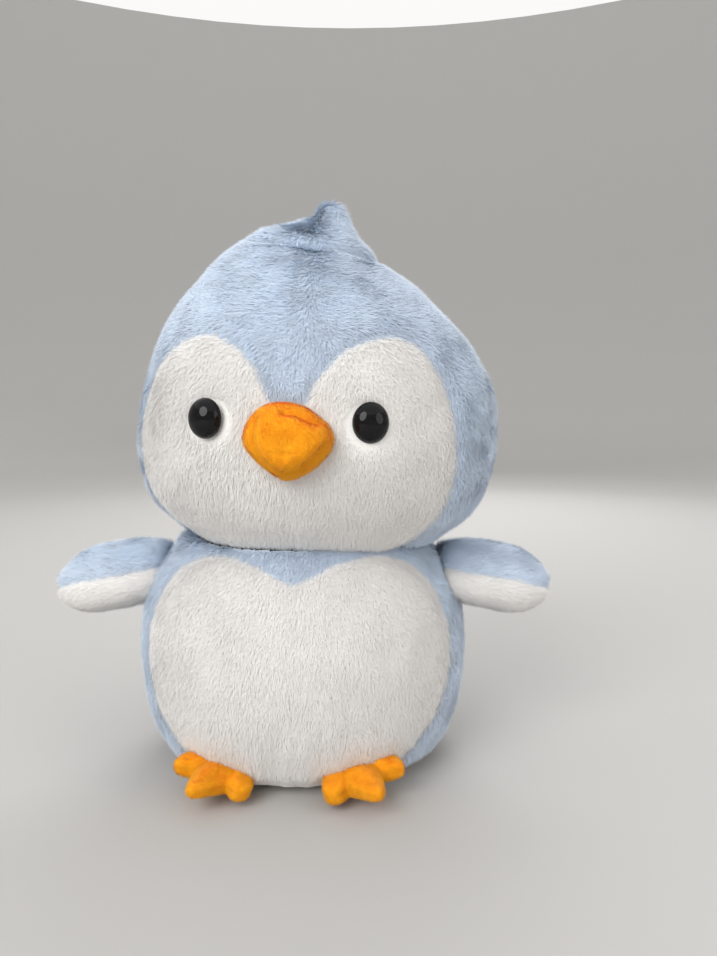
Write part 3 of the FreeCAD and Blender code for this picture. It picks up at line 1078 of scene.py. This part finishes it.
def eye_material():
    """Black moulded plastic, its polish a little uneven."""
    material, shader = new_material("eye_plastic", (0.006, 0.006, 0.007), 0.05)
    shader.inputs["Specular IOR Level"].default_value = 0.15
    shader.inputs["Coat Weight"].default_value = 0.12
    shader.inputs["Coat Roughness"].default_value = 0.02
    nodes, links = material.node_tree.nodes, material.node_tree.links
    place = nodes.new("ShaderNodeTexCoord")
    haze = nodes.new("ShaderNodeTexNoise")
    haze.inputs["Scale"].default_value = 400
    spread = nodes.new("ShaderNodeMapRange")
    spread.inputs["To Min"].default_value = 0.03
    spread.inputs["To Max"].default_value = 0.07
    links.new(place.outputs["Object"], haze.inputs["Vector"])
    links.new(haze.outputs["Fac"], spread.inputs["Value"])
    links.new(spread.outputs["Result"], shader.inputs["Roughness"])
    return material


# An eye's half width, half height and rise, and how far the dome is in front of the
# middle of the CAD eye, which has a stem behind it.
EYE_SIZE = (8.4 * MM, 9.3 * MM, 6.3 * MM)
EYE_AHEAD = 2.9 * MM
EYE_BACK = 3 * MM


def make_eyes():
    """Domes a little taller than they are wide, with a rolled rim that goes into the cloth."""
    material = eye_material()
    turn = np.array(HEAD_MATRIX)[:3, :3]
    angles = round_angles(SMALL_RING_POINTS)
    for sign, side in SIDES:
        out = turn @ unit(np.array([[sign * 0.339, -0.941, 0.0]]))[0]
        up = turn @ np.array([0.0, 0.0, 1.0])
        across = np.cross(up, out)
        centre = middle(f"eye_{side}") + out * EYE_AHEAD
        rings = []
        for rise in np.linspace(-0.5, 0.5, 25) * math.pi:
            depth = math.sin(rise) * (EYE_SIZE[2] if rise > 0 else EYE_BACK)
            wide, high = (EYE_SIZE[k] * math.cos(rise) for k in (0, 1))
            ring = centre + out * depth
            ring = ring + np.outer(np.cos(angles) * wide, across) + np.outer(np.sin(angles) * high, up)
            rings.append(ring)
        rings[0], rings[-1] = rings[0][:1], rings[-1][:1]
        dome = rings_mesh(f"eye_{side}_dome", rings)
        dome.data.materials.append(material)
        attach(dome, "head")
        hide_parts(f"eye_{side}")


STITCHES = 7
STITCH_STEPS = 8
STITCH_LENGTH = 5 * MM
THREAD_RADIUS = 0.45 * MM
THREAD_SIDES = 8


def make_stitches():
    """The thread of the closing seam, a row of short raised loops."""
    low, high = box_of("closing_stitches")
    material = cloth_material("blue_thread", (0.2, 0.29, 0.42), (0.3, 0.4, 0.55), 0.002, 0.0003, 0.4)
    angles = round_angles(THREAD_SIDES)
    points, faces = [], []
    for number in range(STITCHES):
        height = low[2] + (high[2] - low[2]) * (number + 0.5) / STITCHES
        base = len(points)
        for t in np.arange(STITCH_STEPS + 1) / STITCH_STEPS:
            x = (t - 0.5) * STITCH_LENGTH
            y = high[1] - 2.2 * MM + 1.2 * MM * math.sin(math.pi * t)
            z = height + (t - 0.5) * 1.6 * MM
            points += [(x, y + THREAD_RADIUS * math.cos(a), z + THREAD_RADIUS * math.sin(a)) for a in angles]
        for step in range(STITCH_STEPS):
            a, b = base + step * THREAD_SIDES, base + (step + 1) * THREAD_SIDES
            for k in range(THREAD_SIDES):
                n = (k + 1) % THREAD_SIDES
                faces.append((a + k, a + n, b + n, b + k))
        faces.append(range(base, base + THREAD_SIDES))
        faces.append(range(len(points) - 1, len(points) - 1 - THREAD_SIDES, -1))
    thread = make_mesh("closing_thread", points, faces)
    thread.data.materials.append(material)
    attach(thread, "trunk")
    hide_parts("closing_stitches")


# ---------------------------------------------------------------- stage


LIGHT_AIM = Vector((0, 0, 0.14))


def area_light(name, place, size, watts, colour):
    """A soft round lamp that looks at the middle of the toy."""
    data = bpy.data.lights.new(name, "AREA")
    data.shape = "DISK"
    data.size = size
    data.energy = watts
    data.color = colour
    lamp = new_object(name, data)
    lamp.location = place
    lamp.rotation_euler = (LIGHT_AIM - Vector(place)).to_track_quat("-Z", "Y").to_euler()


# The floor's radius and height, from where it is flat to the rim of its cove.
COVE = [(1.5, 0), (1.75, 0.02), (1.95, 0.09), (2.1, 0.22), (2.2, 0.42), (2.25, 0.7), (2.26, 1.5)]
COVE_SIDES = 96


def make_stage():
    """A plain pale floor that curves up all round, and soft light from the front left."""
    angles = round_angles(COVE_SIDES)
    points, faces = [(0, 0, 0)], [(0, 1 + k, 1 + (k + 1) % COVE_SIDES) for k in range(COVE_SIDES)]
    for step, (radius, height) in enumerate(COVE):
        points += [(radius * math.cos(a), radius * math.sin(a), height) for a in angles]
        if step:
            low = 1 + (step - 1) * COVE_SIDES
            high = low + COVE_SIDES
            for k in range(COVE_SIDES):
                n = (k + 1) % COVE_SIDES
                faces.append((low + k, high + k, high + n, low + n))
    floor = make_mesh("floor", points, faces)
    material, _ = new_material("floor_paper", (0.48, 0.475, 0.465), 0.85)
    floor.data.materials.append(material)
    world = bpy.data.worlds.new("studio")
    world.use_nodes = True
    sky = world.node_tree.nodes["Background"]
    sky.inputs["Color"].default_value = (0.92, 0.91, 0.90, 1)
    sky.inputs["Strength"].default_value = 1.05
    bpy.context.scene.world = world
    area_light("key", (-0.7, -1.2, 0.9), 1.1, 17.5, (1.0, 0.99, 0.975))
    area_light("fill", (1.1, -0.7, 0.5), 0.9, 3.5, (1.0, 0.97, 0.95))
    area_light("back", (0.2, 1.2, 0.9), 1.0, 9, (1.0, 0.99, 0.98))


# A little right of the middle, near the toy, and looking 5 degrees down.
CAMERA_PLACE = (0.0302, -0.409, 0.186)
CAMERA_PITCH = math.radians(85)
CAMERA_LENS = 27.95


def make_camera():
    data = bpy.data.cameras.new("camera")
    data.sensor_width = 36
    data.lens = CAMERA_LENS
    data.clip_start = 0.01
    camera = new_object("camera", data)
    camera.location = CAMERA_PLACE
    camera.rotation_euler = (CAMERA_PITCH, 0, 0)
    bpy.context.scene.camera = camera


bpy.context.scene.view_settings.view_transform = "Standard"
make_camera()
make_stage()
make_head()
make_trunk()
for sign, side in SIDES:
    make_wing(sign, side)
    make_foot(sign, side)
make_beak()
make_eyes()
make_stitches()
